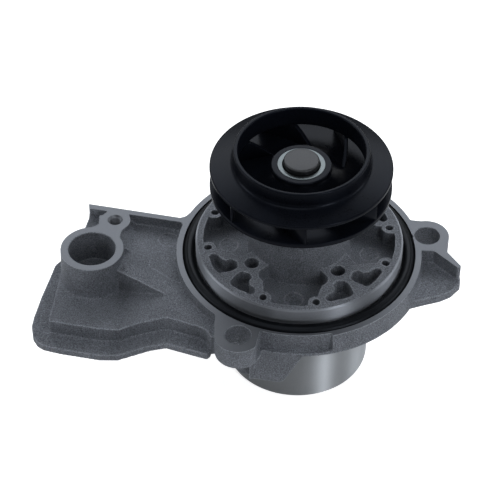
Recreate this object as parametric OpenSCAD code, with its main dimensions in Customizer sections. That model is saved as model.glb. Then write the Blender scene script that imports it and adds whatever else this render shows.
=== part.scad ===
// Engine coolant pump: a die-cast housing with a mounting flange and a side wing, an integral
// shaft bearing, a mechanical face seal, a closed moulded impeller and a smooth drawn pulley.
// Z runs along the shaft, with the impeller up. The origin is on the shaft axis, in the plane
// of the flange's machined face. All sizes are in millimetres.

/* [Flange and spigot] */
// Outer radius of the flange ring at its machined face
flange_r = 55.6; // [54.5:0.1:58]
// Height of the flange ring below its face
flange_h = 11; // [10:0.5:13]
// Thickness of the plate inside the flange ring
plate_t = 5; // [4:0.5:6]
// Outer radius of the turned spigot
spigot_r = 46.9; // [46.6:0.1:47]
// Height of the spigot above the flange face
spigot_h = 7.6; // [6:0.1:9]
// Wall thickness of the spigot rim
rim_t = 3.6; // [3:0.1:4.5]
// Outer radius of the seal ring groove
groove_r = 53; // [52.8:0.1:53.4]
// Depth of the seal ring groove below the flange face
groove_depth = 4.45; // [4.4:0.01:5]
// Section diameter of the seal ring
o_ring_d = 5.7; // [5.3:0.1:5.7]

/* [Bolt ears and wing] */
// Outer radius of a bolt ear
ear_r = 10.3; // [9:0.1:11]
// Diameter of the bolt holes in the ears
ear_hole_d = 11.6; // [10:0.1:12]
// Height of a bolt ear
ear_h = 10.6; // [9:0.1:11]
// Distance from the shaft axis to the wing's socket
socket_x = 94.16; // [93:0.01:96]
// Radius of the wing's socket
socket_r = 10.73; // [9:0.01:11]
// Depth of the wing's socket
socket_depth = 16.4; // [12:0.1:17]
// Outer radius of the boss around the socket
socket_boss_r = 14.3; // [13.5:0.1:14.6]
// Tapping radius of the wing's threaded hole
thread_r = 2.5; // [2:0.05:2.8]
// Depth of the wing's threaded hole
thread_depth = 14; // [10:1:15]

/* [Shaft, bearing and pulley] */
// Diameter of the bearing shaft
shaft_d = 15.918; // [15.9:0.001:15.95]
// Height of the shaft's upper end
shaft_top = 54; // [53:0.5:56]
// Outer diameter of the bearing's outer ring
bearing_d = 30; // [29.9:0.01:30.1]
// Length of the bearing's outer ring
bearing_len = 38.9; // [38:0.1:39]
// Number of balls in the ball row
ball_count = 9; // [7:1:9]
// Number of rollers in the roller row
roller_count = 10; // [8:1:10]
// Outer radius of the pulley
pulley_r = 33.34; // [32:0.01:34]
// Height of the pulley
pulley_h = 34.7; // [30:0.1:36]
// Wall thickness of the pulley
pulley_t = 2.6; // [2:0.1:3]

/* [Impeller] */
// Outer radius of the impeller
impeller_r = 40.16; // [38:0.01:41]
// Height of the impeller's lower face
impeller_z = 38.6; // [38:0.1:40]
// Inner radius of the impeller's eye collar
eye_r = 27.85; // [27:0.01:28.5]
// Height of the eye collar's lip
eye_top = 59.7; // [58:0.1:61]
// Number of vanes
vane_count = 7; // [5:1:8]
// Thickness of a vane
vane_t = 1.9; // [1.5:0.1:2.4]

/* [Hidden] */
$fn = 96;
eps = 0.01;

// Shaft line
shaft_r = shaft_d / 2;
shaft_bottom = -61.5;
shaft_chamfer = 0.9;
bearing_r = bearing_d / 2;
bearing_top = -13.1;
bearing_bottom = bearing_top - bearing_len;
chamber_r = 12.5;
nose_bottom = -50.5;
nose_r = [19.6, 22.6];

// Rolling elements: both rows run on one pitch radius, between the shaft and the outer ring
pitch_r = 10.46;
ball_r = 2.95;
race_r = 3.05;
ball_z = -22.5;
roller_r = 2.43;
roller_len = 10;
roller_z = -40.5;
roller_race_r = 12.96;
sleeve_in_r = 12.6;
cage_r = [9.3, 11.7];

// Seal
seal_bore_r = 15;
seal_bore_z = [4, 17];
tower_r = [23.2, 22.6];
tower_top = 28;
tower_recess_r = 18.6;
sleeve_r = 8.9;
seal_face_z = 22;
seal_gap = 0.02;

// Spigot lugs: four alike, a quarter turn apart, each on a line from the shaft axis
lug_angle = -142;
wide_lug = 1;
lug_hole_pitch_r = 27.1;
lug_hole_r = 3.25;
rim_hole_pitch_r = 41.8;
rim_hole_r = 1.6;
rim_hole_half_angle = 28.7;
rim_boss_r = 3.7;
spigot_relief = 0.6;

// Wing levels: the plateau climbs a ramp from the socket's boss to the flange ring
plateau_z = [-17.5, -5.4];
ramp_x = [-81, -59];
step_drop = 7.6;
ledge_t = 3.5;
shelf_z = -5.4;
thread_at = [-84.5, 19.1];
thread_boss_r = 6.9;

// Bolt ears
front_ear = [-27.3, -53.9];
right_ear = [59.0, 9.6];
back_ear = [-13.5, 58.5];
right_ear_h = 12;
right_floor_z = -7.5;

// Impeller levels
disc_t = 2.2;
outlet_top = 49.2;
shroud_edge_z = 51;
collar_t = 1.9;
hub_r = 13.3;
hub_top = 51.4;
hub_bottom = 29;
insert_r = 10.46;
vane_arc_r = 38.5;
vane_arc_at = [-10.1, 23.95];
vane_inlet_angle = 124.6;

pulley_bottom = -62.7;

// ---- helpers ------------------------------------------------------------------------------

// A tube between two radii, from z0 to z1
module tube(r_out, r_in, z0, z1) {
    difference() {
        translate([0, 0, z0]) cylinder(h = z1 - z0, r = r_out);
        translate([0, 0, z0 - 1]) cylinder(h = z1 - z0 + 2, r = r_in);
    }
}

// A flat plate with the given outline, from z0 to z1
module plate(outline, z0, z1) {
    translate([0, 0, z0]) linear_extrude(z1 - z0) polygon(outline);
}

// A round post at a point, from z0 to z1
module post(at, r, z0, z1) {
    translate([at[0], at[1], z0]) cylinder(h = z1 - z0, r = r);
}

// A block whose side view, in X and Z, is the given profile, from y0 to y1
module side_block(profile, y0, y1) {
    translate([0, y1, 0]) rotate([90, 0, 0]) linear_extrude(y1 - y0) polygon(profile);
}

// ---- housing ------------------------------------------------------------------------------

// Flange ring, with the plate that closes it
module flange() {
    difference() {
        translate([0, 0, -flange_h]) cylinder(h = flange_h, r1 = flange_r + 0.9, r2 = flange_r);
        translate([0, 0, -flange_h - 1]) cylinder(h = flange_h - plate_t + 1, r = 45);
    }
}

// Shallow panel in the ring's front wall, above a narrow ledge
module front_panel() {
    difference() {
        plate([[-16.5, -44], [-20, -62], [15, -62], [12.5, -44]], -9.4, 1);
        translate([0, 0, -20]) cylinder(h = 30, r = 54.2);
    }
}

// One pocket beside a lug's centre line, in the lug's own frame, where X runs outwards
module lug_pocket() {
    polygon([
        [33.6, 1.9], [32, 4.5], [32.6, 7.3], [35.2, 8.2], [36.4, 10.5], [36, 13.2], [36.8, 15],
        [38.2, 15.5], [39.8, 15], [42.2, 8.8], [42.8, 5.4], [42.4, 3.6], [37.5, 1.7], [35.2, 1.4]
    ]);
}

// Outline of one lug: a post by the shaft tower, two arms to the rim's small posts, and a web
module lug_outline() {
    polygon([
        [20, -6.2], [26.1, -5.9], [28.3, -6.5], [30, -8.7], [30.2, -11.8], [33, -15.8], [36.5, -20],
        [45, -20], [45, 20], [36.5, 20], [33, 15.8], [30.2, 11.8], [30, 8.7], [28.3, 6.5],
        [26.1, 5.9], [20, 6.2]
    ]);
    for (side = [-1, 1]) {
        rotate(side * rim_hole_half_angle) translate([rim_hole_pitch_r, 0]) circle(r = rim_boss_r);
    }
}

// Four lugs inside the spigot rim, with their pockets; one of them is wider beside its post
module lugs() {
    for (quarter = [0 : 3]) {
        rotate(lug_angle + 90 * quarter) translate([0, 0, -1]) linear_extrude(spigot_h + 1) {
            difference() {
                intersection() {
                    union() {
                        lug_outline();
                        if (quarter == wide_lug) {
                            polygon([[20, 5], [20, 10.6], [26.9, 9.5], [29.1, 9.4], [30.3, 10.7], [30, 5]]);
                        }
                    }
                    circle(r = spigot_r - 1);
                }
                lug_pocket();
                mirror([0, 1]) lug_pocket();
            }
        }
    }
}

// Turned spigot rim with a chamfered upper edge
module spigot_rim() {
    rotate_extrude() polygon([
        [spigot_r - rim_t, -1], [spigot_r, -1], [spigot_r, spigot_h - 0.7],
        [spigot_r - 0.7, spigot_h], [spigot_r - rim_t, spigot_h]
    ]);
}

// Drilled holes of the lugs and the rim's small posts
module lug_holes() {
    for (quarter = [0 : 3]) {
        rotate(lug_angle + 90 * quarter) {
            post([lug_hole_pitch_r, 0], lug_hole_r, -3.5, spigot_h + 1);
            for (side = [-1, 1]) {
                rotate(side * rim_hole_half_angle) {
                    post([rim_hole_pitch_r, 0], rim_hole_r, -3, spigot_h + 1);
                }
            }
        }
    }
}

// Tower that holds the shaft seal, and the nose that holds the bearing
module shaft_column() {
    translate([0, 0, -plate_t]) cylinder(h = tower_top + plate_t, r1 = tower_r[0], r2 = tower_r[1]);
    translate([0, 0, nose_bottom]) cylinder(h = -plate_t - nose_bottom, r1 = nose_r[0], r2 = nose_r[1]);
}

// Eight ribs under the plate, from the nose to the flange ring
module underside_ribs() {
    for (i = [0 : 7]) {
        rotate(22.5 + 45 * i) side_block(
            [[17, -4], [47, -4], [47, -10.8], [36, -13], [24, -28], [17, -28]], -2, 2
        );
    }
}

// Bores on the shaft axis, from the bearing seat up to the seal's recess
module shaft_bores() {
    translate([0, 0, nose_bottom - 1]) cylinder(h = bearing_top - nose_bottom + 1, r = bearing_r);
    translate([0, 0, bearing_top - 1]) cylinder(h = seal_bore_z[0] - bearing_top + 2, r = chamber_r);
    translate([0, 0, seal_bore_z[0]]) cylinder(h = seal_bore_z[1] - seal_bore_z[0] + 1, r = seal_bore_r);
    translate([0, 0, seal_bore_z[1]]) cylinder(h = tower_top - seal_bore_z[1] + 1, r = tower_recess_r);
}

// Weep hole from the dry chamber out under the plate
module weep_hole() {
    translate([0, 0, -8.6]) rotate([90, 0, 0]) cylinder(h = 30, r = 2);
}

// Side view of the tab that hangs below the front ear
tab_profile = [[-34, -8], [1.4, -8], [1.4, -10.5], [-7, -27.4], [-8.6, -28.6], [-34, -30.2]];

// Front bolt ear with its straight flank; the tab stays behind the way of the bolt
module front_bolt_ear() {
    post(front_ear, ear_r, -ear_h, 0);
    plate([[-37.4, -36], [-37.4, -54.5], [-17.4, -54.5], [-15.5, -50], [-20, -40]], -ear_h, 0);
    intersection() {
        side_block(tab_profile, -58, -38);
        tube(54.2, 49, -32, -5);
    }
    intersection() {
        side_block(tab_profile, -58, -38);
        tube(56.3, 53, -32, -5);
        translate([-20.4, -60, -32]) cube([30, 30, 32]);
    }
}

// Right bolt ear: the bolt post, a tapering arm and a sunk floor between arm and flange ring
module right_bolt_ear() {
    post(right_ear, ear_r - 0.3, -right_ear_h, 0);
    plate([[43, 33], [51.4, 20.2], [57.5, 19.3], [60, 5], [50, -3], [46, 10]], -right_ear_h, 0);
    plate([[58, 4], [67.9, 4.6], [67.4, -1.2], [73.2, -10.7], [71.4, -11.3], [61.5, -0.4], [57, -0.2]],
        -right_ear_h, 0);
    plate([[50, 0], [61, 0], [73.2, -10.7], [72.9, -13.6], [68.3, -18.9], [63.5, -21.6],
        [56.5, -23.8], [50, -26], [46, -30], [44, -20]], -right_ear_h, right_floor_z);
}

// Back bolt ear
module back_bolt_ear() {
    post(back_ear, ear_r, -ear_h, 0);
    plate([[-23.5, 48], [-23, 60], [-4, 60], [-1.5, 50]], -ear_h, 0);
}

// Outline of the wing's raised plateau
plateau_outline = [
    [-103, 14], [-109, 8], [-110.3, -5.3], [-112.8, -29], [-89.9, -33.8], [-71, -35.1], [-59.5, -38],
    [-44.3, -43.9], [-41, -46.2], [-39.4, -50], [-37, -50], [-36, -34], [-52, 0], [-50, 20],
    [-97.5, 30]
];
// Outline of the wing's lower ledge, which rims the plateau
ledge_outline = [
    [-103, 14], [-109.6, 10.9], [-112.7, 7.1], [-114.6, 0.5], [-117.7, -9.5], [-120.5, -20.7],
    [-121.2, -25.5], [-120.2, -31], [-118, -34.8], [-115, -37], [-107.7, -39.2], [-90, -42.9],
    [-80.5, -43], [-66.8, -44.6], [-60, -46.6], [-44.4, -52.3], [-41, -53.4], [-39.6, -52.2],
    [-38.6, -48], [-36, -34], [-52, 0], [-60, 10]
];

// A layer of the wing between two drops below the plateau, following its ramp
module wing_layer(outline, top_drop, bottom_drop) {
    intersection() {
        plate(outline, -60, 10);
        side_block([
            [-125, plateau_z[0] - top_drop], [ramp_x[0], plateau_z[0] - top_drop],
            [ramp_x[1], plateau_z[1] - top_drop], [-30, plateau_z[1] - top_drop],
            [-30, plateau_z[1] - bottom_drop], [ramp_x[1], plateau_z[1] - bottom_drop],
            [ramp_x[0], plateau_z[0] - bottom_drop], [-125, plateau_z[0] - bottom_drop]
        ], -60, 40);
    }
}

// Flank along the wing's left edge, which climbs from the ledge to the plateau
module wing_flank() {
    ledge_z = plateau_z[0] - step_drop;
    intersection() {
        plate(ledge_outline, ledge_z - ledge_t, plateau_z[0]);
        translate([-125, 0, 0]) rotate([90, 0, 90]) linear_extrude(23) polygon([
            [-29, ledge_z], [8, plateau_z[0]], [20, plateau_z[0]], [20, ledge_z - ledge_t],
            [-29, ledge_z - ledge_t]
        ]);
    }
}

// Shelf behind the socket boss, its rounded front crest and the thin wall along its back edge
module wing_shelf() {
    plate([
        [-97.6, 30.2], [-97.6, 26.3], [-99.2, 18.8], [-103, 6], [-82.1, -9.1], [-71.8, -15.8],
        [-58.5, -24.8], [-50, -20], [-50, 19.7], [-54.3, 20.7]
    ], -20, shelf_z);
    plate([
        [-97.6, 30.2], [-97, 27.2], [-54, 18], [-50, 10], [-44, 20], [-46, 30], [-49.5, 25.2],
        [-52, 22], [-54.6, 20.9]
    ], -9, 0);
    intersection() {
        plate([[-83, 0], [-78, 6], [-50, -10], [-50, -30], [-82, -9.3]], -14, 0);
        translate([-80.5, -2.8, shelf_z - 5.9]) rotate([0, 92, -34]) cylinder(h = 40, r = 7.5);
    }
}

// Bosses of the socket and the threaded hole, with the sloping web that joins them
module wing_bosses() {
    translate([-socket_x, 0, -22]) cylinder(h = 22, r1 = socket_boss_r + 0.8, r2 = socket_boss_r);
    post(thread_at, thread_boss_r, -18, 0);
    plate([[-91.2, 21], [-92.2, 15.9], [-96.5, 13.4], [-88, 6], [-82.4, 8], [-82.4, 10.6], [-79, 15],
        [-80, 24]], -9, 0);
    side_block([[-92, -9], [-76.2, -9], [-76.2, shelf_z], [-82.5, -eps], [-92, -eps]], 3.2, 22.4);
}

// Hollows in the wing's underside, which keep its walls even
module wing_hollows() {
    wing_layer([
        [-106, 4], [-108, -6], [-109.5, -25.5], [-90, -29.5], [-71, -31], [-60, -33.5], [-47, -38.5],
        [-50, -30], [-57, -16], [-58.5, 5], [-60, 14], [-94, 21], [-96, 14]
    ], 4.4, 30);
    plate([[-93.5, 24], [-94.5, 12], [-79, -5], [-70, -11], [-59, -17], [-60, 16]], -26, -10.2);
}

// The whole wing, before its holes are machined
module wing() {
    difference() {
        union() {
            wing_layer(plateau_outline, 0, step_drop + ledge_t);
            wing_layer(ledge_outline, step_drop, step_drop + ledge_t);
            wing_flank();
            wing_shelf();
        }
        wing_hollows();
    }
    wing_bosses();
}

module housing() {
    color("darkgray") difference() {
        union() {
            flange();
            spigot_rim();
            lugs();
            shaft_column();
            underside_ribs();
            front_bolt_ear();
            right_bolt_ear();
            back_bolt_ear();
            difference() {
                wing();
                translate([0, 0, -60]) cylinder(h = 70, r = 50);
            }
        }
        tube(groove_r, spigot_r - spigot_relief, -groove_depth, 1.4);
        front_panel();
        shaft_bores();
        lug_holes();
        weep_hole();
        for (at = [front_ear, right_ear, back_ear]) post(at, ear_hole_d / 2, -20, 5);
        post([-socket_x, 0], socket_r, -socket_depth, 5);
        post(thread_at, thread_r, -thread_depth, 5);
        translate([thread_at[0], thread_at[1], -0.6]) cylinder(h = 1.2, r1 = thread_r, r2 = thread_r + 1.2);
    }
}

module o_ring() {
    color("black") translate([0, 0, -groove_depth + 0.05 + o_ring_d / 2]) rotate_extrude()
        translate([spigot_r + 0.05 + o_ring_d / 2, 0]) circle(d = o_ring_d);
}

// ---- impeller -----------------------------------------------------------------------------

// One vane: part of a cylindrical shell that curves away from the eye
module vane_plan() {
    intersection() {
        translate(vane_arc_at) difference() {
            circle(r = vane_arc_r + vane_t / 2);
            circle(r = vane_arc_r - vane_t / 2);
        }
        polygon([[14, -8], [24, -8], [44, 20], [44, 44], [20, 44], [14, 8]]);
    }
}

// Hub, back disc and vanes, moulded in one
module impeller_wheel() {
    color("black") {
        rotate_extrude() polygon([
            [insert_r, hub_bottom], [hub_r, hub_bottom], [hub_r, impeller_z], [impeller_r, impeller_z],
            [impeller_r, impeller_z + disc_t], [25, impeller_z + disc_t + 0.5], [19.5, 43],
            [15.5, 46.5], [hub_r, 49.5], [hub_r, hub_top - 0.4], [hub_r - 0.4, hub_top],
            [insert_r, hub_top]
        ]);
        intersection() {
            for (i = [0 : vane_count - 1]) {
                rotate(vane_inlet_angle + 360 / vane_count * i)
                    translate([0, 0, impeller_z + 1]) linear_extrude(14) vane_plan();
            }
            rotate_extrude() polygon([
                [17, impeller_z + 0.5], [17.5, 42], [20, 42.4], [eye_r - 0.5, 50.6], [eye_r + 0.3, 50.4],
                [31, 50], [impeller_r - 0.3, outlet_top], [impeller_r - 0.3, impeller_z + 0.5]
            ]);
        }
    }
}

// Front shroud with its eye collar
module impeller_shroud() {
    color("black") rotate_extrude() polygon([
        [eye_r, 51], [eye_r, eye_top - 0.5], [eye_r + 0.5, eye_top], [eye_r + collar_t - 0.5, eye_top],
        [eye_r + collar_t, eye_top - 0.5], [eye_r + collar_t + 0.2, 53.4], [31, 52.5],
        [impeller_r - 0.4, shroud_edge_z], [impeller_r, shroud_edge_z - 0.4],
        [impeller_r, outlet_top + 0.3], [impeller_r - 0.3, outlet_top], [31, 50], [eye_r + 0.3, 50.4]
    ]);
}

// Steel bush that is moulded into the impeller and pressed on the shaft
module impeller_insert() {
    color("silver") rotate_extrude() polygon([
        [shaft_r, hub_bottom], [insert_r, hub_bottom], [insert_r, hub_top + 0.1],
        [shaft_r + 0.6, hub_top + 0.1], [shaft_r, hub_top - 0.6]
    ]);
}

// ---- shaft, bearing and pulley --------------------------------------------------------------

module shaft() {
    color("dimgray") difference() {
        rotate_extrude() polygon([
            [0, shaft_bottom], [shaft_r - shaft_chamfer, shaft_bottom],
            [shaft_r, shaft_bottom + shaft_chamfer], [shaft_r, shaft_top - shaft_chamfer],
            [shaft_r - shaft_chamfer, shaft_top], [0, shaft_top]
        ]);
        translate([0, 0, ball_z]) rotate_extrude() translate([pitch_r, 0]) circle(r = race_r);
    }
}

module bearing_sleeve() {
    color("silver") difference() {
        tube(bearing_r, sleeve_in_r, bearing_bottom, bearing_top);
        translate([0, 0, ball_z]) rotate_extrude() translate([pitch_r, 0]) circle(r = race_r);
        tube(roller_race_r, 1, roller_z - roller_len / 2 - 0.3, roller_z + roller_len / 2 + 0.3);
    }
}

module bearing_balls() {
    color("lightgray") for (i = [0 : ball_count - 1]) {
        rotate(360 / ball_count * i) translate([pitch_r, 0, ball_z]) sphere(r = ball_r);
    }
}

// Moulded cage with a round pocket for each ball
module ball_cage() {
    color("tan") difference() {
        tube(cage_r[1], cage_r[0], ball_z - 3.6, ball_z + 3.6);
        for (i = [0 : ball_count - 1]) {
            rotate(360 / ball_count * i) translate([8.7, 0, ball_z]) rotate([0, 90, 0])
                cylinder(h = 4, r = ball_r + 0.12);
        }
    }
}

module bearing_rollers() {
    color("lightgray") for (i = [0 : roller_count - 1]) {
        rotate(360 / roller_count * i)
            post([pitch_r + 0.03, 0], roller_r, roller_z - roller_len / 2, roller_z + roller_len / 2);
    }
}

// Moulded cage with a window for each roller
module roller_cage() {
    color("tan") difference() {
        tube(cage_r[1], cage_r[0], roller_z - roller_len / 2 - 1.8, roller_z + roller_len / 2 + 1.8);
        for (i = [0 : roller_count - 1]) {
            rotate(360 / roller_count * i) translate([0, -roller_r - 0.12, roller_z - roller_len / 2 - 0.12])
                cube([20, 2 * roller_r + 0.24, roller_len + 0.24]);
        }
    }
}

// Rubber lip seal that closes one end of the bearing
module lip_seal(z0, z1) {
    color("black") tube(sleeve_in_r, shaft_r + 0.08, z0, z1);
}

module bearing_seal_upper() {
    lip_seal(bearing_top - 2.6, bearing_top - 0.8);
}

module bearing_seal_lower() {
    lip_seal(bearing_bottom + 0.8, bearing_bottom + 2.6);
}

// Drawn steel pulley with a smooth belt face, pressed on the shaft's lower end
module pulley() {
    color("silver") rotate_extrude() polygon([
        [shaft_r, pulley_bottom + 1.6], [shaft_r, -54], [12.4, -54], [13, -54.6], [13, -59],
        [24.5, -59], [26.5, -60.1], [pulley_r - pulley_t, -60.1],
        [pulley_r - pulley_t, pulley_bottom + pulley_h], [pulley_r - 0.3, pulley_bottom + pulley_h],
        [pulley_r, pulley_bottom + pulley_h - 0.3], [pulley_r, pulley_bottom + 1.2],
        [pulley_r - 0.35, pulley_bottom + 0.35], [pulley_r - 1.2, pulley_bottom], [26, pulley_bottom],
        [24, pulley_bottom + 1.1], [13, pulley_bottom + 1.1], [12, pulley_bottom + 1.6]
    ]);
}

// ---- shaft seal -----------------------------------------------------------------------------

// Pressed metal cup, held in the tower by its outer wall and flange
module seal_cartridge() {
    color("goldenrod") rotate_extrude() polygon([
        [11.5, 5], [seal_bore_r, 5], [seal_bore_r, seal_bore_z[1]], [17.8, seal_bore_z[1]],
        [17.8, seal_bore_z[1] + 1.1], [seal_bore_r - 1.1, seal_bore_z[1] + 1.1],
        [seal_bore_r - 1.1, 6.1], [11.5, 6.1]
    ]);
}

spring_r = 12.7;
spring_wire_r = 0.6;
spring_z = [8, 15.6];
spring_turns = 4;
spring_steps = 24;
spring_sides = 8;

// Compression spring: a round wire swept along a helix
module seal_spring() {
    count = spring_turns * spring_steps;
    points = [for (i = [0 : count], k = [0 : spring_sides - 1])
        let (turn = 360 * i / spring_steps, side = 360 * k / spring_sides,
            r = spring_r + spring_wire_r * cos(side))
        [r * cos(turn), r * sin(turn),
            spring_z[0] + (spring_z[1] - spring_z[0]) * i / count + spring_wire_r * sin(side)]];
    walls = [for (i = [0 : count - 1], k = [0 : spring_sides - 1])
        let (a = i * spring_sides, b = a + spring_sides, next = (k + 1) % spring_sides)
        [a + k, b + k, b + next, a + next]];
    ends = [[for (k = [0 : spring_sides - 1]) k],
        [for (k = [spring_sides - 1 : -1 : 0]) count * spring_sides + k]];
    color("lightgray") polyhedron(points = points, faces = concat(walls, ends), convexity = 8);
}

// Pressed rings that seat the spring's ends
module seal_ferrule_upper() {
    color("silver") tube(13.6, 11.9, spring_z[1] + 0.75, spring_z[1] + 1.35);
}

module seal_ferrule_lower() {
    color("silver") tube(13.6, 11.9, spring_z[0] - 1.5, spring_z[0] - 0.75);
}

// Rubber bellows between the cup and the carbon face ring
module seal_bellows() {
    color("black") rotate_extrude() polygon([
        [9.6, 6.2], [11.8, 6.2], [11.8, 9], [11, 10.2], [11.8, 11.6], [11.8, 17.4], [13.6, 17.4],
        [13.6, 18], [9.6, 18], [9.6, 11.6], [10, 10.2], [9.6, 9]
    ]);
}

// Stationary carbon ring, pressed upwards by the spring
module seal_carbon_face() {
    color("dimgray") rotate_extrude() polygon([
        [9.7, 18], [13.6, 18], [13.6, 20.6], [12.4, 21.2], [12.4, seal_face_z - seal_gap],
        [9.7, seal_face_z - seal_gap]
    ]);
}

// Hard ring that turns with the shaft, against the carbon face
module seal_mating_ring() {
    color("slategray") tube(15, 9.7, seal_face_z, seal_face_z + 4.4);
}

// Rubber cup that drives the mating ring
module seal_mating_boot() {
    color("black") rotate_extrude() polygon([
        [sleeve_r, seal_face_z + 0.6], [9.7, seal_face_z + 0.6], [9.7, seal_face_z + 4.4],
        [15, seal_face_z + 4.4], [15, seal_face_z + 1], [16.4, seal_face_z + 1],
        [16.4, hub_bottom - 1.2], [sleeve_r, hub_bottom - 1.2]
    ]);
}

// Metal sleeve between the shaft and the rotating half of the seal
module seal_sleeve() {
    color("silver") rotate_extrude() polygon([
        [shaft_r, 5.4], [sleeve_r, 5.4], [sleeve_r, hub_bottom - 1.2], [16, hub_bottom - 1.2],
        [16, hub_bottom], [shaft_r, hub_bottom]
    ]);
}

housing();
o_ring();
impeller_wheel();
impeller_shroud();
impeller_insert();
shaft();
pulley();
bearing_sleeve();
bearing_balls();
ball_cage();
bearing_rollers();
roller_cage();
bearing_seal_upper();
bearing_seal_lower();
seal_cartridge();
seal_spring();
seal_ferrule_upper();
seal_ferrule_lower();
seal_bellows();
seal_carbon_face();
seal_mating_ring();
seal_mating_boot();
seal_sleeve();
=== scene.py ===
import math

import bmesh
import bpy
from mathutils import Matrix, Vector


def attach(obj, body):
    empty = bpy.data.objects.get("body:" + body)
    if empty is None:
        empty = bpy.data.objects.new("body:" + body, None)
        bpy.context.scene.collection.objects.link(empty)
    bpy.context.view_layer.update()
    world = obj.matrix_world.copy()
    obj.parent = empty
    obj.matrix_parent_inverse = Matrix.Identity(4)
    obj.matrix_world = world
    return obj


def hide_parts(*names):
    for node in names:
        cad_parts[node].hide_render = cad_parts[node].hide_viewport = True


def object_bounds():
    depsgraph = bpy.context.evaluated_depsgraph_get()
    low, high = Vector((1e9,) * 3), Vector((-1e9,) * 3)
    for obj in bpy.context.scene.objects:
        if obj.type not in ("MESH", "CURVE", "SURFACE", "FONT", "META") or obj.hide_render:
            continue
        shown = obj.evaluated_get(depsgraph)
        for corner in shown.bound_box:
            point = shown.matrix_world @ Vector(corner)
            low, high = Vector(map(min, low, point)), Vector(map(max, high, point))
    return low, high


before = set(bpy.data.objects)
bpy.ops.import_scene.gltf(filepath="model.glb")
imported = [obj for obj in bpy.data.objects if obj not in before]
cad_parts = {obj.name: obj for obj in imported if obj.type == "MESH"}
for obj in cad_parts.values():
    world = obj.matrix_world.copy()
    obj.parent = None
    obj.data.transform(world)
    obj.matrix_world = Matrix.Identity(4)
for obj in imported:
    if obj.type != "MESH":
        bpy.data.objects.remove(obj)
cad_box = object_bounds()

# ---- Studio -------------------------------------------------------------------------------
# The pump stands on its pulley on a seamless white sweep. Soft boxes light it from behind, from
# above and from both sides, and a narrow one in front on the right draws the metal's highlights.

scene = bpy.context.scene
scene.view_settings.view_transform = "Standard"
MM = 0.001
floor_z = cad_box[0][2] - 0.1 * MM
DAYLIGHT = (0.93, 0.965, 1)


def white_to_camera(tree, socket, lighting, seen):
    """Sets how bright the studio's own white is as a light, and as the camera sees it."""
    rays = tree.nodes.new("ShaderNodeLightPath")
    level = tree.nodes.new("ShaderNodeMapRange")
    level.inputs["To Min"].default_value = lighting
    level.inputs["To Max"].default_value = seen
    tree.links.new(rays.outputs["Is Camera Ray"], level.inputs["Value"])
    tree.links.new(level.outputs["Result"], socket)


def sweep_floor(size):
    """A wide white plane under the pump."""
    mesh = bpy.data.meshes.new("studio_floor")
    corners = [(-size, -size), (size, -size), (size, size), (-size, size)]
    mesh.from_pydata([(x, y, floor_z) for x, y in corners], [], [(0, 1, 2, 3)])
    floor = bpy.data.objects.new("studio_floor", mesh)
    scene.collection.objects.link(floor)
    paper = bpy.data.materials.new("white_paper")
    paper.use_nodes = True
    shader = paper.node_tree.nodes["Principled BSDF"]
    shader.inputs["Base Color"].default_value = (0.7, 0.7, 0.7, 1)
    shader.inputs["Roughness"].default_value = 0.9
    shader.inputs["Emission Color"].default_value = (1, 1, 1, 1)
    white_to_camera(paper.node_tree, shader.inputs["Emission Strength"], 0.12, 0.8)
    mesh.materials.append(paper)


def look_down(place, elevation, roll, lens):
    """The camera at place, facing +Y and tipped down by elevation."""
    data = bpy.data.cameras.new("camera")
    data.lens = lens
    data.sensor_width = 36
    data.clip_end = 50
    camera = bpy.data.objects.new("camera", data)
    tip = Matrix.Rotation(math.radians(90 - elevation), 4, "X")
    camera.matrix_world = Matrix.Translation(place) @ tip @ Matrix.Rotation(math.radians(roll), 4, "Z")
    scene.collection.objects.link(camera)
    scene.camera = camera


def soft_box(name, place, size, power):
    """A rectangular light at place, turned towards the pump. Sizes in metres, power in watts."""
    data = bpy.data.lights.new(name, "AREA")
    data.shape = "RECTANGLE"
    data.size, data.size_y = size
    data.energy = power
    data.color = DAYLIGHT
    lamp = bpy.data.objects.new(name, data)
    turn = (-Vector(place)).to_track_quat("-Z", "Y").to_matrix().to_4x4()
    lamp.matrix_world = Matrix.Translation(place) @ turn
    scene.collection.objects.link(lamp)


# The floor and the room are brighter to the camera than as lights, so that white stays white.
sweep_floor(size=6)
look_down(place=(-0.02224, -0.61251, 0.58240), elevation=43.58, roll=0.27, lens=133.8)
soft_box("behind", (0.05, 0.95, 0.85), (1.9, 0.6), 12)
soft_box("overhead", (-0.2, -0.35, 1.2), (0.9, 0.7), 3.5)
soft_box("left", (-1.1, 0.1, 0.6), (0.4, 0.8), 4.5)
soft_box("right", (0.62, -0.74, 0.55), (0.16, 0.8), 4.5)
soft_box("right_side", (1.1, 0.1, 0.5), (0.5, 0.7), 3.5)
world = bpy.data.worlds.new("white_room")
world.use_nodes = True
room = world.node_tree.nodes["Background"]
room.inputs["Color"].default_value = (1, 1, 1, 1)
white_to_camera(world.node_tree, room.inputs["Strength"], 0.16, 1.0)
scene.world = world

# ---- Housing ------------------------------------------------------------------------------
# A die casting in aluminium, with soft edges and the die's fine grain. It is then machined
# where it seats: flange face, spigot wall, seal groove and bores, which keep crisp edges.


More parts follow.
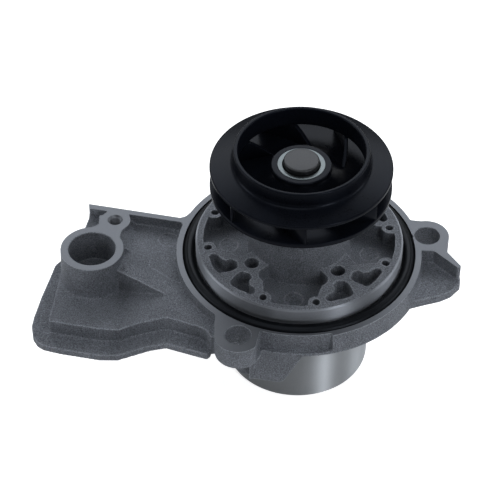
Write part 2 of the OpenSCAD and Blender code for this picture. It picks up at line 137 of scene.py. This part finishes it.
class Wire:
    """An output socket of a node tree. Arithmetic on it adds the Math nodes that work it out."""

    def __init__(self, tree, socket):
        self.tree = tree
        self.socket = socket

    def math(self, operation, *values):
        return self.tree.node("ShaderNodeMath", {"operation": operation}, dict(enumerate(values)))

    def __add__(self, other):
        return self.math("ADD", self, other)

    def __sub__(self, other):
        return self.math("SUBTRACT", self, other)

    def __mul__(self, other):
        return self.math("MULTIPLY", self, other)

    def __rtruediv__(self, other):
        return self.math("DIVIDE", other, self)

    def __rsub__(self, other):
        return self.math("SUBTRACT", other, self)

    __radd__ = __add__
    __rmul__ = __mul__

    def above(self, edge, width):
        """0 below edge, 1 above it, with a soft step of the given width."""
        settings = {"interpolation_type": "SMOOTHSTEP", "clamp": True}
        inputs = {"Value": self, "From Min": edge - width / 2, "From Max": edge + width / 2}
        return self.tree.node("ShaderNodeMapRange", settings, inputs)


class NodeTree:
    """A node tree under construction, for a material or for a shape."""

    def __init__(self, tree):
        self.tree = tree

    def node(self, kind, settings=(), inputs=(), output=0):
        """Adds a node, sets it up, connects or fills its sockets and returns one output."""
        node = self.tree.nodes.new(kind)
        for key, value in dict(settings).items():
            if key == "stops":
                self.set_stops(node.color_ramp, value)
            else:
                setattr(node, key, value)
        for key, value in dict(inputs).items():
            self.feed(node.inputs[key], value)
        return None if output is None else Wire(self, node.outputs[output])

    def set_stops(self, ramp, stops):
        """Places a ramp's stops, each a position and a grey or a colour."""
        for index, (place, colour) in enumerate(stops):
            stop = ramp.elements[index] if index < 2 else ramp.elements.new(place)
            stop.position = place
            stop.color = (*colour, 1)

    def feed(self, socket, value):
        if isinstance(value, Wire):
            self.tree.links.new(value.socket, socket)
        else:
            socket.default_value = value


class Finish(NodeTree):
    """A procedural material, built on the piece's Object coordinates."""

    def __init__(self, name, **shader_values):
        self.material = bpy.data.materials.new(name)
        self.material.use_nodes = True
        super().__init__(self.material.node_tree)
        self.shader = self.tree.nodes["Principled BSDF"]
        for socket, value in shader_values.items():
            self.shader.inputs[socket.replace("_", " ")].default_value = value

    def place(self):
        return self.node("ShaderNodeTexCoord", output="Object")

    def axes(self):
        """X, Y and Z in metres."""
        parts = self.node("ShaderNodeSeparateXYZ", {}, {0: self.place()}).socket.node
        return [Wire(self, parts.outputs[k]) for k in range(3)]

    def point(self, x, y, z):
        return self.node("ShaderNodeCombineXYZ", {}, {"X": x, "Y": y, "Z": z})

    def radius(self):
        """Distance from the shaft axis, in metres."""
        x, y, _ = self.axes()
        return x.math("SQRT", x * x + y * y)

    def noise(self, size, detail=2.0, vector=None, roughness=0.5, distortion=0.0):
        """Noise whose blotches are about the given size in metres."""
        inputs = {"Vector": vector or self.place(), "Scale": 1 / size, "Detail": detail,
                  "Roughness": roughness, "Distortion": distortion}
        return self.node("ShaderNodeTexNoise", {"noise_dimensions": "3D"}, inputs)

    def ramp(self, value, stops):
        return self.node("ShaderNodeValToRGB", {"stops": stops}, {"Fac": value})

    def bump(self, height, depth):
        """Raises the surface by height times depth, in metres."""
        inputs = {"Height": height, "Distance": depth, "Strength": 1.0}
        self.feed(self.shader.inputs["Normal"], self.node("ShaderNodeBump", {}, inputs))

    def paint(self, **sockets):
        for socket, value in sockets.items():
            self.feed(self.shader.inputs[socket.replace("_", " ")], value)


def cast_aluminium():
    """Die-cast skin: sparkling grain, faint flow marks and a little staining. Edges and creases are
    painted paler, partly as wear and partly as a painted highlight.
    """
    skin = Finish("cast_aluminium", Metallic=0.6, Specular_IOR_Level=0.35)
    grain = skin.noise(0.00055, detail=3, roughness=0.7)
    flow = skin.noise(0.012, detail=4, distortion=0.6)
    stain = skin.noise(0.045, detail=2)
    # Edges and creases are painted paler: partly edge wear, partly a painted highlight, on concave
    # creases as well as convex edges.
    rounded_over = skin.node("ShaderNodeBevel", {"samples": 6}, {"Radius": 1.2 * MM})
    facing = skin.node("ShaderNodeNewGeometry", output="True Normal")
    alike = skin.node("ShaderNodeVectorMath", {"operation": "DOT_PRODUCT"},
                      {0: rounded_over, 1: facing}, output="Value")
    edge_wear_and_painted_highlight = (1.0 - alike).above(0.05, 0.06)  # where the surface turns within the bevel's reach
    skin.paint(
        Base_Color=skin.ramp(flow * 0.3 + stain * 0.2 + grain * 2.0 + edge_wear_and_painted_highlight * 0.4 - 0.71, [
            (0.2, (0.070, 0.076, 0.089)), (0.8, (0.255, 0.270, 0.302)),
            (1.0, (0.40, 0.42, 0.46))]),
        Roughness=0.42 + grain * 0.2)
    skin.bump(grain + flow * 0.3, 0.0011)
    return skin.material


def turned_metal(name, dark, light, rough, ring=0.0004, metallic=0.95, depth=0.00001, brushed=0.0):
    """Metal cut or ground in a lathe: fine rings about the shaft axis and a slight haze. Brushed
    metal spreads its highlights along the axis."""
    cut = Finish(name, Metallic=metallic, Anisotropic=brushed, Anisotropic_Rotation=0.25)
    _, _, z = cut.axes()
    rings = cut.noise(ring, detail=1, vector=cut.point(cut.radius(), z, 0.0))
    haze = cut.noise(0.018, detail=3)
    specks = cut.noise(0.0007, detail=2)
    cut.paint(
        Base_Color=cut.ramp(haze * 0.45 + rings * 0.3 + specks * 0.25, [(0.3, dark), (0.7, light)]),
        Roughness=rough - 0.06 + rings * 0.08 + haze * 0.06)
    cut.bump(rings, depth)
    return cut.material


CAST = cast_aluminium()
MACHINED = turned_metal("machined_aluminium", (0.115, 0.122, 0.137), (0.150, 0.158, 0.174), 0.5,
                        metallic=0.75, depth=0.00002)
TURNED = turned_metal("turned_aluminium", (0.20, 0.212, 0.235), (0.27, 0.283, 0.31), 0.52,
                      ring=0.0007, brushed=0.9)


def corner(before, at, after, size):
    """Points of a soft curve that rounds a profile's corner by about the given size."""
    def towards(end):
        gap = math.hypot(end[0] - at[0], end[1] - at[1])
        share = min(size, 0.45 * gap) / gap
        return [at[k] + (end[k] - at[k]) * share for k in range(2)]

    start, stop = towards(before), towards(after)
    steps = [k / 5 for k in range(6)]
    return [tuple((1 - t) ** 2 * start[k] + 2 * t * (1 - t) * at[k] + t * t * stop[k] for k in range(2))
            for t in steps]


def rounded(profile):
    """A closed profile with its corners rounded. A point's third value is its rounding."""
    points = []
    for index, spot in enumerate(profile):
        if len(spot) == 2:
            points.append(spot)
        else:
            after = profile[(index + 1) % len(profile)]
            points += corner(profile[index - 1], spot, after, spot[2])
    return points


def lathe(name, profile, at=(0, 0), steps=192, finish=None, thread=(0, 1)):
    """A solid turned about an upright axis at a point, from (radius, height) pairs in millimetres.
    The profile is closed and runs anticlockwise, with the radius to the right. A thread, of a depth
    and a pitch, shifts each point in height as it goes round."""
    spots, faces, rings = [], [], []
    for radius, height in rounded(profile):
        count = 1 if radius == 0 else steps
        rings.append([len(spots) + k for k in range(count)])
        for k in range(count):
            turn = math.tau * k / steps
            ridge = thread[0] * math.cos(math.tau * height / thread[1] - turn)
            reach = radius + (ridge if radius else 0)
            spots.append((at[0] + reach * math.cos(turn), at[1] + reach * math.sin(turn), height))
    for low, high in zip(rings, rings[1:] + rings[:1]):
        for k in range(steps):
            n = (k + 1) % steps
            if len(low) == 1 and len(high) == 1:
                break
            if len(low) == 1:
                faces.append((low[0], high[n], high[k]))
            elif len(high) == 1:
                faces.append((low[k], low[n], high[0]))
            else:
                faces.append((low[k], low[n], high[n], high[k]))
    return solid(name, spots, faces, finish)


def solid(name, spots, faces, finish=None):
    """A piece from points in millimetres and their faces."""
    mesh = bpy.data.meshes.new(name)
    mesh.from_pydata([Vector(spot) * MM for spot in spots], [], faces)
    if finish:
        mesh.materials.append(finish)
    piece = bpy.data.objects.new(name, mesh)
    scene.collection.objects.link(piece)
    return piece


def join(name, pieces):
    """One object from several of one finish."""
    mesh = bpy.data.meshes.new(name)
    mesh.materials.append(pieces[0].data.materials[0])
    shape = bmesh.new()
    for piece in pieces:
        shape.from_mesh(piece.data)
        bpy.data.objects.remove(piece)
    shape.to_mesh(mesh)
    shape.free()
    joined = bpy.data.objects.new(name, mesh)
    scene.collection.objects.link(joined)
    return joined


def settle(piece):
    """Applies a piece's modifiers, so that it is a plain mesh."""
    ready = piece.evaluated_get(bpy.context.evaluated_depsgraph_get())
    mesh = bpy.data.meshes.new_from_object(ready)
    piece.modifiers.clear()
    piece.data = mesh


def cut_away(piece, tool):
    """Takes the tool's shape out of the piece. The cut faces get the tool's finish."""
    cut = piece.modifiers.new("cut", "BOOLEAN")
    cut.operation = "DIFFERENCE"
    cut.solver = "MANIFOLD"
    cut.material_mode = "TRANSFER"
    cut.object = tool
    settle(piece)
    bpy.data.objects.remove(tool)


def smooth_shading(piece, angle=38):
    """Smooth shading, broken at edges sharper than the angle in degrees."""
    mesh = piece.data
    mesh.polygons.foreach_set("use_smooth", [True] * len(mesh.polygons))
    mesh.set_sharp_from_angle(angle=math.radians(angle))


def fit(piece, body, slot, *nodes):
    """Puts a finished piece on its body, in place of its CAD nodes."""
    smooth_shading(piece)
    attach(piece, body)
    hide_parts(*nodes)


# Sizes in millimetres, as machined
spigot_r, spigot_top, relief_r = 46.9, 7.6, 46.3
groove_r, groove_floor = 53.0, -4.45
stock = 1.3
ear_holes = [(-27.3, -53.9), (59.0, 9.6), (-13.5, 58.5)]
ear_hole_r = 5.8
socket_at, socket_r, socket_floor = (-94.16, 0), 10.73, -16.4
thread_at, thread_r, thread_floor = (-84.5, 19.1), 2.5, -14
lug_angles = [-142, -52, 38, 128]
shelf_z = -5.4


def cast_blank():
    """The casting as it leaves the die: extra stock on what is machined, and rounded edges."""
    shape = bmesh.new()
    shape.from_mesh(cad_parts["housing"].data)
    bmesh.ops.remove_doubles(shape, verts=shape.verts, dist=0.000001)
    bores = [(ear_hole_r, spot) for spot in ear_holes]
    bores += [(socket_r, socket_at), (thread_r, thread_at)]
    for vert in shape.verts:
        x, y, z = (value / MM for value in vert.co)
        radius = math.hypot(x, y)
        for bore_r, (cx, cy) in bores:
            away = math.hypot(x - cx, y - cy)
            if away < bore_r + stock:
                on_wall = away < bore_r + 0.05
                shrink = max(0.25, (bore_r - stock) / bore_r) if on_wall else (bore_r - 1) / away
                x, y = cx + (x - cx) * shrink, cy + (y - cy) * shrink
        if radius > groove_r + 0.2 and abs(z) < 0.7:
            z = stock
        elif (relief_r - 0.15 < radius < groove_r + 0.1
              and groove_floor - 0.1 < z < spigot_top + 0.1):
            # the wall of the spigot and the walls of the groove, which the tool cuts back
            reach = spigot_r + stock if radius < spigot_r + 0.1 else groove_r - stock
            x, y = x * reach / radius, y * reach / radius
            z = groove_floor + stock if z < groove_floor + 0.1 else z
            z = stock if abs(z) < 0.1 else z
        elif radius < 30 and z > 27.9:
            z += stock
        vert.co = (x * MM, y * MM, z * MM)
    mesh = bpy.data.meshes.new("housing_cast")
    shape.to_mesh(mesh)
    shape.free()
    mesh.materials.append(CAST)
    blank = bpy.data.objects.new("housing_cast", mesh)
    scene.collection.objects.link(blank)
    remesh = blank.modifiers.new("skin", "REMESH")
    remesh.mode = "VOXEL"
    remesh.voxel_size = 0.42 * MM
    soften = blank.modifiers.new("soften", "SMOOTH")
    soften.factor = 0.5
    soften.iterations = 2
    thin = blank.modifiers.new("thin", "DECIMATE")
    thin.ratio = 0.2
    settle(blank)
    return blank


def drilled(at, radius, floor, bevel=0.3, top=0.0, finish=MACHINED):
    """A drill with a flat end, and a bevel where it leaves the face at top."""
    return lathe("drill", [
        (0, floor), (radius, floor), (radius, top - bevel), (radius + bevel * 2, top + bevel),
        (0, top + bevel)
    ], at=at, steps=96, finish=finish)


def tap(at, radius, floor, pitch=1.0, depth=0.27):
    """A tap: a drill with a thread's ridges and a wide bevel at its mouth."""
    mouth = 0.8
    count = round((-mouth - floor) / pitch * 8)
    wall = [(radius + depth, floor + pitch / 8 * k) for k in range(count + 1)]
    return lathe("tap", [(0, floor), *wall, (radius + 1.4, 0.4), (0, 0.4)], at=at, steps=48,
                 finish=MACHINED, thread=(depth, pitch))


def on_circle(radius, angle):
    return (radius * math.cos(math.radians(angle)), radius * math.sin(math.radians(angle)))


def slab(outline, z0, z1, finish):
    """A flat block with the given outline."""
    count = len(outline)
    spots = [(x, y, z) for z in (z0, z1) for x, y in outline]
    sides = [(k, (k + 1) % count, count + (k + 1) % count, count + k) for k in range(count)]
    ends = [tuple(reversed(range(count))), tuple(range(count, 2 * count))]
    return solid("slab", spots, [*ends, *sides], finish)


housing = cast_blank()
facing = lathe("facing", [
    (47.6, groove_floor), (groove_r, groove_floor), (groove_r, 0), (135, 0), (135, 12), (47.6, 12)
], finish=MACHINED)
boring = lathe("boring", [
    (0, -60), (30, -60), (30, -50.5), (15, -50.5), (15, -13.1), (12.5, -13.1), (12.5, 4), (15, 4),
    (15, 17), (18.6, 17), (18.6, 28), (30, 28), (30, 34), (0, 34)
], finish=MACHINED)
cut_away(housing, join("axis_tools", [facing, boring]))
cut_away(housing, lathe("turning", [
    (relief_r, groove_floor), (48.3, groove_floor), (48.3, 12), (45.6, 12), (45.6, spigot_top + 0.6),
    (spigot_r, spigot_top - 0.7), (spigot_r, 1.4), (relief_r, 1.4)
], finish=TURNED))
cores = [drilled(spot, ear_hole_r, -20, bevel=0.15, finish=CAST) for spot in ear_holes]
cores.append(drilled(socket_at, socket_r, socket_floor, finish=CAST))
for angle in (-95, -5, 85, 175):
    cores.append(drilled(on_circle(32, angle), 4.2, -0.3, bevel=0.1, finish=CAST))
cores.append(drilled((-60.0, 12.0), 4.4, shelf_z - 0.3, bevel=0.1, top=shelf_z, finish=CAST))
cores.append(slab([(-68, -1.3), (-68, -5.5), (-58, -14.5), (-50, -18), (-50, -1.3)],
                  shelf_z - 0.2, -4, CAST))
cut_away(housing, join("cores", cores))
drills = [tap(thread_at, thread_r, thread_floor)]
for angle in lug_angles:
    drills.append(drilled(on_circle(27.1, angle), 3.15, -3.5, bevel=0.2, top=spigot_top))
    for side in (-28.7, 28.7):
        drills.append(drilled(on_circle(41.5, angle + side), 1.6, -3, bevel=0.12, top=spigot_top))
cut_away(housing, join("drills", drills))
housing.name = "housing_body"
fit(housing, "pump_housing", "cast_aluminium", "housing")

# ---- Seal ring ------------------------------------------------------------------------------
# A thick ring of black rubber, pushed over the spigot into its groove. A fine line from the
# mould runs round its crown, which stands proud of the flange face until it is squeezed.


def rubber(name, dark, light, rough):
    """Black rubber: matt, with a fine bloom and small specks."""
    skin = Finish(name, Specular_IOR_Level=0.13, Specular_Tint=(0.8, 0.87, 1, 1))
    bloom = skin.noise(0.009, detail=4)
    pores = skin.noise(0.0006, detail=2)
    skin.paint(
        Base_Color=skin.ramp(bloom * 0.6 + pores * 0.4, [
            (0.3, (dark, dark * 1.2, dark * 1.6)), (0.7, (light, light * 1.15, light * 1.4))]),
        Roughness=rough - 0.08 + bloom * 0.12 + pores * 0.08)
    skin.bump(pores + bloom * 0.5, 0.00005)
    return skin.material


def ring_section(centre_r, centre_z, radius, line_at=62, line_depth=0.16, line_width=9):
    """A round section with a shallow line, at an angle in degrees above its outer side."""
    points = []
    for k in range(72):
        angle = 5 * k
        off = (angle - line_at + 180) % 360 - 180
        reach = radius - line_depth * math.exp(-((off / line_width) ** 2))
        x, z = on_circle(reach, angle)
        points.append((centre_r + x, centre_z + z))
    return points


ring_r, ring_z, ring_thickness = 49.8, -1.55, 5.7
SEAL_RUBBER = rubber("seal_rubber", 0.001, 0.0035, 0.36)
fit(lathe("seal_ring", ring_section(ring_r, ring_z, ring_thickness / 2), finish=SEAL_RUBBER),
    "pump_housing", "seal_rubber", "o_ring")

# ---- Impeller -------------------------------------------------------------------------------
# Moulded in black glass-filled plastic: a wheel with hub and seven curved vanes, and a shroud
# with its eye collar welded on top. A steel bush in the hub is pressed on the shaft.


def impeller_plastic():
    """Blue-black moulded plastic: glossy, with faint flow lines and fine glass-fibre grain."""
    skin = Finish("impeller_plastic", Specular_IOR_Level=0.075, Specular_Tint=(0.75, 0.82, 1, 1))
    flow = skin.noise(0.02, detail=4, distortion=1.2)
    fibre = skin.noise(0.0008, detail=2)
    skin.paint(
        Base_Color=skin.ramp(flow * 0.6 + fibre * 0.4, [
            (0.3, (0.0018, 0.0022, 0.0035)), (0.7, (0.004, 0.005, 0.008))]),
        Roughness=0.22 + flow * 0.08 + fibre * 0.06)
    skin.bump(fibre + flow, 0.00001)
    return skin.material


class ShapeTree(NodeTree):
    """A Geometry Nodes tree, with named inputs for its sizes."""

    def __init__(self, name, **inputs):
        super().__init__(bpy.data.node_groups.new(name, "GeometryNodeTree"))
        face = self.tree.interface
        face.new_socket("Geometry", in_out="INPUT", socket_type="NodeSocketGeometry")
        for label, kind in inputs.items():
            face.new_socket(label.replace("_", " "), in_out="INPUT", socket_type="NodeSocket" + kind)
        face.new_socket("Geometry", in_out="OUTPUT", socket_type="NodeSocketGeometry")
        self.sizes = self.tree.nodes.new("NodeGroupInput")

    def size(self, label):
        return Wire(self, self.sizes.outputs[label])

    def hand_over(self, shape):
        """Realizes the shape's copies and gives it the Finish input."""
        real = self.node("GeometryNodeRealizeInstances", {}, {0: shape})
        done = self.node("GeometryNodeSetMaterial", {},
                         {"Geometry": real, "Material": self.size("Finish")})
        self.node("NodeGroupOutput", {}, {0: done}, output=None)

    def run(self, piece, **values):
        """Runs the tree on a piece and leaves a plain mesh."""
        modifier = piece.modifiers.new("shape", "NODES")
        modifier.node_group = self.tree
        for item in self.tree.interface.items_tree:
            key = item.name.replace(" ", "_")
            if item.in_out == "INPUT" and key in values:
                modifier[item.identifier] = values[key]
        settle(piece)


def copies_round_axis():
    """A tree that repeats its piece evenly about the shaft axis."""
    tree = ShapeTree("copies_round_axis", Count="Int", First_Turn="Float", Finish="Material")
    one = tree.node("GeometryNodeGeometryToInstance", {}, {0: tree.size("Geometry")})
    many = tree.node("GeometryNodeDuplicateElements", {"domain": "INSTANCE"},
                     {"Geometry": one, "Amount": tree.size("Count")})
    index = Wire(tree, many.socket.node.outputs["Duplicate Index"])
    turn = index * (math.tau / tree.size("Count")) + tree.size("First Turn")
    around = tree.node("ShaderNodeCombineXYZ", {}, {"Z": turn})
    tree.hand_over(tree.node("GeometryNodeRotateInstances", {},
                             {"Instances": many, "Rotation": around}))
    return tree


IMPELLER = impeller_plastic()
ROUND_AXIS = copies_round_axis()
impeller_r, impeller_z = 40.16, 38.6
vane_arc_at, vane_arc_r, vane_t = (-10.1, 23.95), 38.5, 1.9
vane_first_turn = 124.6
vane_crown = [(16, 42.0), (20, 42.4), (27.35, 50.7), (31, 50.1), (41, 49.3)]


def crown_height(radius):
    """Height of a vane's upper edge at a radius, along the shroud's underside."""
    for (r0, z0), (r1, z1) in zip(vane_crown, vane_crown[1:]):
        if radius <= r1:
            return z0 + (z1 - z0) * (radius - r0) / (r1 - r0)


def vane(inner_r=17.2, outer_r=39.8, stations=28):
    """One vane: a curved plate that thins towards both ends."""
    cx, cy = vane_arc_at
    centre = math.hypot(cx, cy)

    def meet(radius):
        cosine = (radius ** 2 - centre ** 2 - vane_arc_r ** 2) / (2 * vane_arc_r * centre)
        return math.atan2(cy, cx) - math.acos(cosine)

    start, stop = meet(inner_r), meet(outer_r)
    spots, faces = [], []
    for k in range(stations + 1):
        t = k / stations
        angle = start + (stop - start) * t
        half = vane_t / 2 * (1 - 0.5 * (2 * t - 1) ** 6)
        mid = math.hypot(cx + vane_arc_r * math.cos(angle), cy + vane_arc_r * math.sin(angle))
        crown = crown_height(mid)
        for reach, z in ((half, 40), (half, crown), (-half, crown), (-half, 40)):
            spots.append((cx + (vane_arc_r + reach) * math.cos(angle),
                          cy + (vane_arc_r + reach) * math.sin(angle), z))
    for k in range(stations):
        a = 4 * k
        faces += [(a + s, a + (s + 1) % 4, a + 4 + (s + 1) % 4, a + 4 + s) for s in range(4)]
    last = 4 * stations
    faces += [(3, 2, 1, 0), (last, last + 1, last + 2, last + 3)]
    piece = solid("vanes", spots, faces, IMPELLER)
    point_outwards(piece)
    edges = piece.modifiers.new("edges", "BEVEL")
    edges.width = 0.35 * MM
    edges.segments = 2
    settle(piece)
    return piece


def point_outwards(piece):
    """Turns a closed piece's faces outwards."""
    shape = bmesh.new()
    shape.from_mesh(piece.data)
    bmesh.ops.recalc_face_normals(shape, faces=shape.faces)
    shape.to_mesh(piece.data)
    shape.free()


vanes = vane()
ROUND_AXIS.run(vanes, Count=7, First_Turn=math.radians(vane_first_turn), Finish=IMPELLER)
insert_r, hub_r, hub_top, hub_bottom = 10.46, 13.3, 51.4, 29
wheel = lathe("wheel", [
    (insert_r, hub_bottom), (hub_r, hub_bottom, 0.5), (hub_r, impeller_z, 1.2),
    (impeller_r, impeller_z, 0.5), (impeller_r, impeller_z + 2.2, 0.5),
    (25, impeller_z + 2.7, 2), (19.5, 43, 2), (15.5, 46.5, 2),
    (hub_r, 49.5, 1), (hub_r, hub_top, 0.7), (insert_r, hub_top, 0.2)
], finish=IMPELLER)
fit(join("impeller_wheel_moulding", [wheel, vanes]), "rotor", "impeller_plastic", "impeller_wheel")
eye_r, eye_top = 27.85, 59.7
fit(lathe("impeller_shroud_moulding", [
    (eye_r, 51, 1.5), (eye_r, eye_top, 0.7), (eye_r + 1.9, eye_top, 0.7), (eye_r + 2.1, 53.4, 1.4),
    (31, 52.5, 1), (impeller_r, 51, 0.6), (impeller_r, 49.2, 0.5), (31, 50, 1), (eye_r + 0.3, 50.4, 0.4)
], finish=IMPELLER), "rotor", "impeller_plastic", "impeller_shroud")
shaft_r = 7.959
fit(lathe("impeller_bush", [
    (shaft_r, hub_bottom), (insert_r, hub_bottom), (insert_r, hub_top + 0.1, 0.12),
    (shaft_r + 0.5, hub_top + 0.1, 0.1), (shaft_r, hub_top - 0.6)
], finish=turned_metal("bush_steel", (0.09, 0.103, 0.108), (0.13, 0.146, 0.152), 0.34)),
    "rotor", "insert_steel", "impeller_insert")

# ---- Shaft and pulley -----------------------------------------------------------------------
# The hardened shaft is the bearing's inner ring too, with the balls' groove ground in it. The
# pulley is drawn from sheet steel, with a smooth face for the back of the belt.

shaft_top, shaft_bottom, ball_z, pitch_r, race_r = 54, -61.5, -22.5, 10.46, 3.05


def race_profile(steps=12):
    """The section of the balls' groove, as it is ground into the shaft."""
    half = math.degrees(math.acos((pitch_r - shaft_r) / race_r))
    angles = [180 + half - 2 * half * k / steps for k in range(steps + 1)]
    arc = [on_circle(race_r, angle) for angle in angles]
    return [(pitch_r + x, ball_z + z) for x, z in arc]


fit(lathe("shaft_turned", [
    (0, shaft_bottom), (shaft_r, shaft_bottom, 0.9), *race_profile(),
    (shaft_r, shaft_top, 1.1), (0, shaft_top)
], finish=turned_metal("shaft_steel", (0.036, 0.037, 0.039), (0.06, 0.061, 0.064), 0.42)),
    "rotor", "shaft_steel", "shaft")


def drawn_steel():
    """Sheet drawn over a die: faint streaks along the drawing, and a thin dull coat of oil."""
    skin = Finish("pulley_steel", Metallic=0.9, Anisotropic=0.95, Anisotropic_Rotation=0.25)
    x, y, z = skin.axes()
    streaks = skin.noise(0.0022, detail=3, vector=skin.point(x, y, z * 0.06))
    haze = skin.noise(0.016, detail=3)
    specks = skin.noise(0.0006, detail=2)
    skin.paint(
        Base_Color=skin.ramp(streaks * 0.3 + haze * 0.4 + specks * 0.3, [
            (0.3, (0.40, 0.415, 0.435)), (0.7, (0.47, 0.485, 0.505))]),
        Roughness=0.56 + haze * 0.06 + streaks * 0.03)
    skin.bump(streaks * 0.4 + specks * 0.6, 0.000006)
    return skin.material


pulley_r, pulley_in_r, pulley_bottom, pulley_top = 33.34, 30.74, -62.7, -28
fit(lathe("pulley_drawn", [
    (shaft_r, pulley_bottom + 1.6, 0.3), (12, pulley_bottom + 1.6, 0.4), (13, pulley_bottom + 1.1, 0.4),
    (24, pulley_bottom + 1.1, 0.8), (26, pulley_bottom, 0.8), (pulley_r, pulley_bottom, 1.6),
    (pulley_r, pulley_top, 0.5), (pulley_in_r, pulley_top, 0.5), (pulley_in_r, -60.1, 1.2),
    (26.5, -60.1, 0.8), (24.5, -59, 0.8), (13, -59, 0.8), (13, -54, 0.5), (shaft_r, -54, 0.3)
], finish=drawn_steel()), "rotor", "pulley_steel", "pulley")

# ---- Bearing --------------------------------------------------------------------------------
# A sealed two-row bearing: a ground outer ring, a row of balls and a row of rollers in moulded
# cages, and a rubber lip at each end. It is pressed into the nose of the housing.


def finish_nodes(material, *names):
    """Gives carried-over nodes their material."""
    for name in names:
        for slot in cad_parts[name].material_slots:
            slot.material = material


def cage_nylon():
    """Cream moulded nylon, slightly translucent at its thin edges, with oily patches."""
    skin = Finish("cage_nylon", Subsurface_Weight=0.15)
    skin.shader.inputs["Subsurface Radius"].default_value = (0.002, 0.0015, 0.001)
    oil = skin.noise(0.006, detail=3)
    grain = skin.noise(0.0005, detail=2)
    skin.paint(
        Base_Color=skin.ramp(oil * 0.7 + grain * 0.3, [
            (0.3, (0.42, 0.33, 0.17)), (0.7, (0.60, 0.50, 0.30))]),
        Roughness=0.25 + oil * 0.3)
    skin.bump(grain, 0.00003)
    return skin.material


finish_nodes(turned_metal("ring_steel", (0.42, 0.42, 0.43), (0.58, 0.58, 0.59), 0.26), "bearing_sleeve")
BALL_STEEL = turned_metal("ball_steel", (0.60, 0.60, 0.61), (0.70, 0.70, 0.71), 0.12, depth=0.000002)
finish_nodes(BALL_STEEL, "bearing_balls")
finish_nodes(cage_nylon(), "ball_cage", "roller_cage")
finish_nodes(rubber("lip_rubber", 0.012, 0.03, 0.5), "bearing_seal_upper", "bearing_seal_lower")

roller_r, roller_z, roller_half = 2.43, -40.5, 5
rollers = lathe("rollers", [
    (0, roller_z - roller_half), (roller_r, roller_z - roller_half, 0.45),
    (roller_r, roller_z + roller_half, 0.45), (0, roller_z + roller_half)
], at=(pitch_r + 0.03, 0), steps=48, finish=BALL_STEEL)
ROUND_AXIS.run(rollers, Count=10, First_Turn=0.0, Finish=BALL_STEEL)
fit(rollers, "roller_row", "roller_steel", "bearing_rollers")

# ---- Shaft seal -----------------------------------------------------------------------------
# A cartridge of pressed brass holds a rubber bellows and a spring, which push a carbon ring
# against a hard ring. That one turns with the shaft in its rubber cup, on a steel sleeve.


def pressed_metal(name, dark, light, rough):
    """Thin pressed sheet: rings left by the tool, small stains and a soft sheen."""
    return turned_metal(name, dark, light, rough, ring=0.0007, metallic=1.0, depth=0.000015)


def carbon_graphite():
    """Pressed carbon: dull, dark and dusty, with tiny pores."""
    skin = Finish("carbon_graphite", Metallic=0.2)
    pores = skin.noise(0.0003, detail=3, roughness=0.7)
    dust = skin.noise(0.005, detail=2)
    skin.paint(
        Base_Color=skin.ramp(pores * 0.5 + dust * 0.5, [
            (0.3, (0.016, 0.016, 0.018)), (0.7, (0.045, 0.045, 0.048))]),
        Roughness=0.42 + pores * 0.3)
    skin.bump(pores, 0.00003)
    return skin.material


def silicon_carbide():
    """Lapped hard ceramic: smooth grey with a close dark grain."""
    skin = Finish("silicon_carbide", Specular_IOR_Level=0.7)
    grain = skin.noise(0.00025, detail=3, roughness=0.8)
    cloud = skin.noise(0.008, detail=2)
    skin.paint(
        Base_Color=skin.ramp(grain * 0.6 + cloud * 0.4, [
            (0.35, (0.045, 0.05, 0.058)), (0.65, (0.11, 0.12, 0.135))]),
        Roughness=0.12 + grain * 0.12)
    skin.bump(grain, 0.000004)
    return skin.material


def coil():
    """A tree that winds a round wire into a spring about the shaft axis. Sizes in metres."""
    tree = ShapeTree("coil", Turns="Float", Coil_Radius="Float", Wire_Radius="Float", Length="Float",
                     Bottom="Float", Finish="Material")
    winding = tree.node("GeometryNodeCurveSpiral", {}, {
        "Resolution": 64, "Rotations": tree.size("Turns"), "Start Radius": tree.size("Coil Radius"),
        "End Radius": tree.size("Coil Radius"), "Height": tree.size("Length")})
    wire = tree.node("GeometryNodeCurvePrimitiveCircle", {}, {
        "Resolution": 16, "Radius": tree.size("Wire Radius")})
    swept = tree.node("GeometryNodeCurveToMesh", {}, {
        "Curve": winding, "Profile Curve": wire, "Fill Caps": True})
    lift = tree.node("ShaderNodeCombineXYZ", {}, {"Z": tree.size("Bottom")})
    tree.hand_over(tree.node("GeometryNodeTransform", {}, {"Geometry": swept, "Translation": lift}))
    return tree


SPRING_STEEL = pressed_metal("spring_steel", (0.40, 0.40, 0.41), (0.58, 0.58, 0.60), 0.3)
spring = solid("seal_spring_wound", [], [], SPRING_STEEL)
coil().run(spring, Turns=4.0, Coil_Radius=12.7 * MM, Wire_Radius=0.6 * MM, Length=7.6 * MM,
           Bottom=8 * MM, Finish=SPRING_STEEL)
point_outwards(spring)
fit(spring, "pump_housing", "spring_steel", "seal_spring")
finish_nodes(SPRING_STEEL, "seal_ferrule_upper", "seal_ferrule_lower", "seal_sleeve")
finish_nodes(pressed_metal("cup_brass", (0.40, 0.28, 0.10), (0.58, 0.44, 0.20), 0.32), "seal_cartridge")
finish_nodes(rubber("bellows_rubber", 0.010, 0.024, 0.48), "seal_bellows", "seal_mating_boot")
finish_nodes(carbon_graphite(), "seal_carbon_face")
finish_nodes(silicon_carbide(), "seal_mating_ring")
